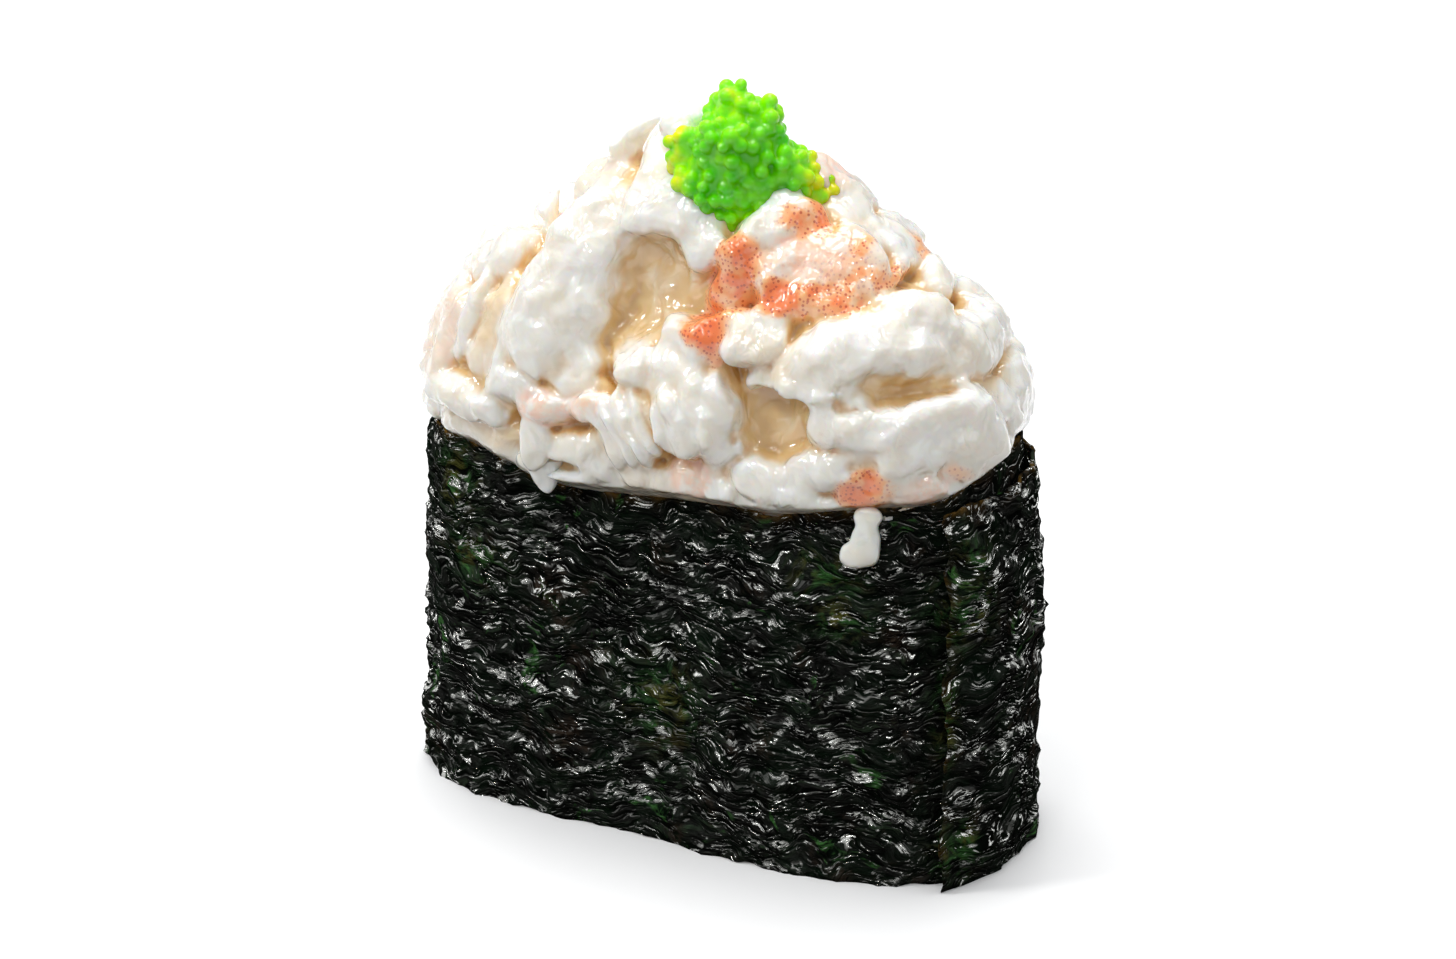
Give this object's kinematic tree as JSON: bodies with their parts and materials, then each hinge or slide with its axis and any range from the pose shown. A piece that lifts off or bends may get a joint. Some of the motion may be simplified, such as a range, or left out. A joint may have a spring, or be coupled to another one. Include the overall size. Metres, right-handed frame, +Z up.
{
  "type": "gunkan sushi",
  "caption": "Tall oval gunkan sushi: a dark seaweed band round pressed rice, heaped with creamy crab salad and topped with a peak of green fish roe.",
  "frame": {"origin": "on the surface the sushi stands on, under the middle of its bounding box", "axes": "+Z up along the height, +X along the long side of the oval, -Y towards the front, where the roe and the seaweed's outer end are seen"},
  "size_m": [0.0536, 0.0278, 0.0629],
  "materials": {
    "seaweed": "dark green-black, crinkled and moist",
    "rice": "cooked rice, slightly sticky",
    "salad": "wet creamy mayonnaise",
    "crab_white": "wet crab meat coated in mayonnaise",
    "crab_pink": "wet pinkish crab meat",
    "crab_orange": "wet orange crab skin with small specks",
    "roe": "translucent glossy green eggs"
  },
  "bodies": {
    "root": {"seaweed_band": "seaweed", "rice": "rice", "crab_salad": "salad", "flying_fish_roe": "roe", "crab_left": "crab_white", "crab_right": "crab_white", "crab_centre": "crab_white", "crab_crown": "crab_white", "crab_pink": "crab_pink", "crab_orange": "crab_orange", "crab_flake": "crab_white", "crab_lobe": "crab_white", "crab_shoulder": "crab_white", "crab_far_left": "crab_white", "crab_rim_left": "crab_white", "crab_rim_front": "crab_white", "crab_rim_right": "crab_pink", "crab_peak": "crab_pink", "crab_back_left": "crab_white", "crab_back_right": "crab_white", "crab_back_middle": "crab_white", "crab_back_top": "crab_pink", "crab_left_end": "crab_white"}
  },
  "joints": []
}
